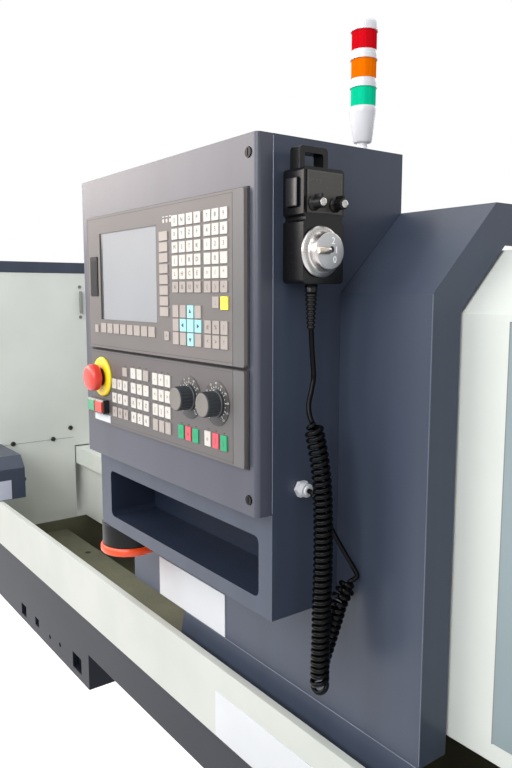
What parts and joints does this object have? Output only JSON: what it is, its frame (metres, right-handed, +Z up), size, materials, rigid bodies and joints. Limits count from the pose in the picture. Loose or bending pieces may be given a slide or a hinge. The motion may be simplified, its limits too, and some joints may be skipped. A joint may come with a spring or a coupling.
{
  "type": "cnc turning lathe",
  "caption": "Flat-bed computer-controlled turning lathe with an operator console on the sliding carriage guard, a hand-wheel pendant and a signal tower.",
  "frame": {"origin": "on the floor, under the middle of the machine's box", "axes": "+X from the headstock to the tailstock, +Y from the operator into the machine, +Z up"},
  "size_m": [3.1, 1.2, 1.6217],
  "materials": {
    "slate_paint": "satin dark blue-grey paint",
    "cream_paint": "satin cream paint",
    "pan_paint": "dull olive paint",
    "cast_paint": "cream paint on castings",
    "ground_steel": "ground",
    "panel_grey": "matte film",
    "keyboard_grey": "matte film",
    "screen_glass": "gloss display",
    "black_plastic": "moulded",
    "red_plastic": "moulded",
    "yellow_plastic": "moulded",
    "green_plastic": "moulded",
    "lens_red": "lens",
    "lens_amber": "lens",
    "lens_green": "lens",
    "white_plastic": "moulded",
    "rubber": "smooth",
    "aluminium": "turned"
  },
  "bodies": {
    "root": {"leg_left": "slate_paint", "leg_right": "slate_paint", "chip_pan": "pan_paint", "bed": "cast_paint", "front_rail": "cream_paint", "front_panel": "slate_paint", "headstock": "cast_paint", "headstock_cover": "cream_paint", "headstock_roof": "slate_paint", "left_guard": "slate_paint", "tail_guard": "cream_paint", "rear_guard": "cream_paint", "rear_cabinet": "slate_paint", "z_motor": "black_plastic"},
    "chuck": {"chuck_body": "ground_steel"},
    "jaw_one": {"jaw_1": "ground_steel"},
    "jaw_two": {"jaw_2": "ground_steel"},
    "jaw_three": {"jaw_3": "ground_steel"},
    "carriage": {"saddle": "cast_paint", "apron": "cast_paint", "guard_bracket": "slate_paint", "guard_cover": "slate_paint", "console_box": "slate_paint", "pendant_holder": "ground_steel", "pendant_body": "black_plastic", "pendant_relief": "rubber", "gland": "white_plastic", "cord_lead": "rubber", "cord_coil": "rubber", "cord_tail": "rubber", "lamp_base": "white_plastic", "lamp_green": "lens_green", "lamp_amber": "lens_amber", "lamp_red": "lens_red", "work_lamp": "black_plastic", "x_motor": "black_plastic"},
    "pendant_crank": {"pendant_wheel": "aluminium"},
    "axis_selector": {"selector_left": "black_plastic"},
    "step_selector": {"selector_right": "black_plastic"},
    "enable_key": {"enable_button": "black_plastic"},
    "door": {"console_door": "slate_paint", "display_panel": "panel_grey", "screen": "screen_glass", "machine_panel": "keyboard_grey", "estop_collar": "yellow_plastic", "button_block": "black_plastic"},
    "upper_lock": {"lock_upper": "black_plastic"},
    "lower_lock": {"lock_lower": "black_plastic"},
    "usb_cover": {"usb_flap": "black_plastic"},
    "estop": {"estop_button": "red_plastic"},
    "start": {"start_button": "green_plastic"},
    "stop": {"stop_button": "red_plastic"},
    "feed_knob": {"knob_left": "black_plastic"},
    "speed_knob": {"knob_right": "black_plastic"},
    "slide": {"cross_slide": "ground_steel"},
    "toolpost": {"toolpost_head": "ground_steel"},
    "tailstock": {"tailstock_body": "cast_paint"},
    "tail_quill": {"quill": "ground_steel"},
    "handwheel": {"tail_wheel": "ground_steel"},
    "clamp_lever": {"tail_lever": "black_plastic"}
  },
  "joints": [
    {"name": "spindle_turn", "type": "hinge", "parent": "root", "child": "chuck", "pos_m": [-0.8294, 0.028, 1.073], "axis": [1, 0, 0], "continuous": true},
    {"name": "jaw_1_slide", "type": "slide", "parent": "chuck", "child": "jaw_one", "axis": [0, 0, 1], "range_m": [-0.03, 0.012]},
    {"name": "jaw_2_slide", "type": "slide", "parent": "chuck", "child": "jaw_two", "axis": [0, -0.866, -0.5], "range_m": [-0.03, 0.012]},
    {"name": "jaw_3_slide", "type": "slide", "parent": "chuck", "child": "jaw_three", "axis": [0, 0.866, -0.5], "range_m": [-0.03, 0.012]},
    {"name": "carriage_slide", "type": "slide", "parent": "root", "child": "carriage", "axis": [1, 0, 0], "range_m": [-0.71, 0.66]},
    {"name": "cross_slide_travel", "type": "slide", "parent": "carriage", "child": "slide", "axis": [0, -1, 0], "range_m": [-0.05, 0.12]},
    {"name": "toolpost_index", "type": "hinge", "parent": "slide", "child": "toolpost", "pos_m": [0.14, -0.12, 0.966], "axis": [0, 0, 1], "continuous": true},
    {"name": "tailstock_slide", "type": "slide", "parent": "root", "child": "tailstock", "axis": [1, 0, 0], "range_m": [-0.6, 0.02]},
    {"name": "handwheel_turn", "type": "hinge", "parent": "tailstock", "child": "handwheel", "pos_m": [1.3303, 0.028, 1.073], "axis": [-1, 0, 0], "range_deg": [0, 8594]},
    {"name": "quill_slide", "type": "slide", "parent": "tailstock", "child": "tail_quill", "axis": [-1, 0, 0], "range_m": [0, 0.12]},
    {"name": "clamp_lever_turn", "type": "hinge", "parent": "tailstock", "child": "clamp_lever", "pos_m": [1.13, 0.028, 1.1473], "axis": [0, 0, 1], "range_deg": [0, 70]},
    {"name": "door_swing", "type": "hinge", "parent": "carriage", "child": "door", "pos_m": [0.166, -0.5453, 1.47], "axis": [0, 0, -1], "range_deg": [0, 100]},
    {"name": "lock_upper_turn", "type": "hinge", "parent": "door", "child": "upper_lock", "pos_m": [0.612, -0.567, 1.4499], "axis": [0, 1, 0], "range_deg": [0, 90]},
    {"name": "lock_lower_turn", "type": "hinge", "parent": "door", "child": "lower_lock", "pos_m": [0.612, -0.567, 1.0664], "axis": [0, 1, 0], "range_deg": [0, 90]},
    {"name": "usb_flap_swing", "type": "hinge", "parent": "door", "child": "usb_cover", "pos_m": [0.2107, -0.5748, 1.3538], "axis": [0, 0, -1], "range_deg": [0, 110]},
    {"name": "estop_press", "type": "slide", "parent": "door", "child": "estop", "axis": [0, 1, 0], "range_m": [0, 0.004], "stiffness_N_per_m": 3000},
    {"name": "start_press", "type": "slide", "parent": "door", "child": "start", "axis": [0, 1, 0], "range_m": [0, 0.002], "stiffness_N_per_m": 900},
    {"name": "stop_press", "type": "slide", "parent": "door", "child": "stop", "axis": [0, 1, 0], "range_m": [0, 0.002], "stiffness_N_per_m": 900},
    {"name": "feed_knob_turn", "type": "hinge", "parent": "door", "child": "feed_knob", "pos_m": [0.496, -0.5744, 1.1715], "axis": [0, 1, 0], "range_deg": [-140, 140]},
    {"name": "speed_knob_turn", "type": "hinge", "parent": "door", "child": "speed_knob", "pos_m": [0.557, -0.5744, 1.1715], "axis": [0, 1, 0], "range_deg": [-140, 140]},
    {"name": "crank_turn", "type": "hinge", "parent": "carriage", "child": "pendant_crank", "pos_m": [0.6673, -0.5125, 1.344], "axis": [1, 0, 0], "continuous": true},
    {"name": "axis_selector_turn", "type": "hinge", "parent": "carriage", "child": "axis_selector", "pos_m": [0.6684, -0.5236, 1.394], "axis": [1, 0, 0], "range_deg": [-60, 60]},
    {"name": "step_selector_turn", "type": "hinge", "parent": "carriage", "child": "step_selector", "pos_m": [0.6684, -0.4933, 1.394], "axis": [1, 0, 0], "range_deg": [-60, 60]},
    {"name": "enable_press", "type": "slide", "parent": "carriage", "child": "enable_key", "axis": [0, 1, 0], "range_m": [0, 0.0025], "stiffness_N_per_m": 800}
  ],
  "couplings": [
    {"joint": "jaw_2_slide", "follows": "jaw_1_slide", "ratio": 1},
    {"joint": "jaw_3_slide", "follows": "jaw_1_slide", "ratio": 1},
    {"joint": "quill_slide", "follows": "handwheel_turn", "m_per_rad": 0.0008}
  ]
}
